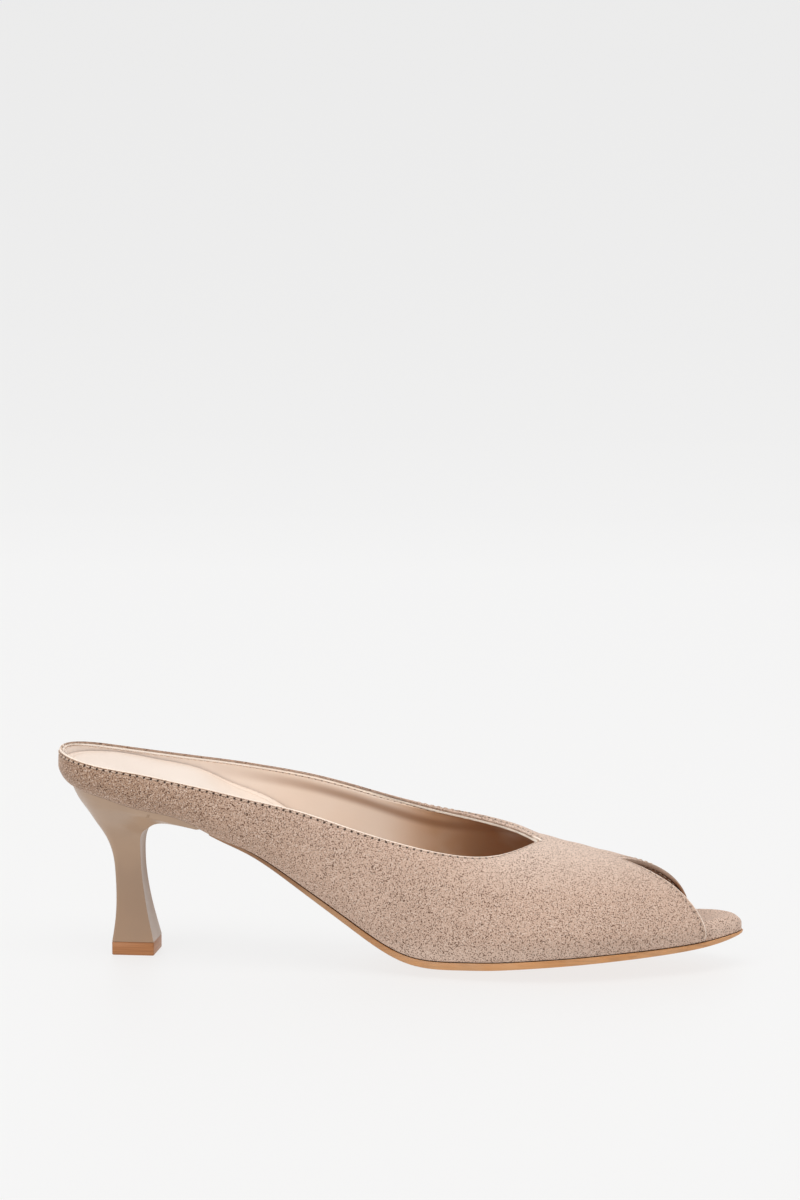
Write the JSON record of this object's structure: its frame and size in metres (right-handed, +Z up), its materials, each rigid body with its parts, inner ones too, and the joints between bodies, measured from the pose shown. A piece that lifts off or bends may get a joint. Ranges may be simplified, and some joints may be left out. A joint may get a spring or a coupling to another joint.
{
  "type": "heeled mule",
  "caption": "Backless pointed heeled mule, right shoe: suede upper with an open collar and toe slit, padded footbed, thin leather sole and a flared hourglass heel.",
  "frame": {"origin": "centre of the bounding box on the floor plane that the sole and the heel tip stand on", "axes": "+X from the heel to the pointed toe, +Y to the inner side of the foot, +Z up"},
  "size_m": [0.2452, 0.0756, 0.0746],
  "materials": {
    "upper_suede": "matte",
    "sock_leather": "satin",
    "footbed_cover": "matte",
    "sole_leather": "satin",
    "heel_lacquer": "satin",
    "tip_rubber": "satin"
  },
  "bodies": {
    "root": {"upper": "upper_suede", "sock_lining": "sock_leather", "insole": "footbed_cover", "outsole": "sole_leather", "heel": "heel_lacquer", "heel_tip": "tip_rubber"}
  },
  "joints": []
}
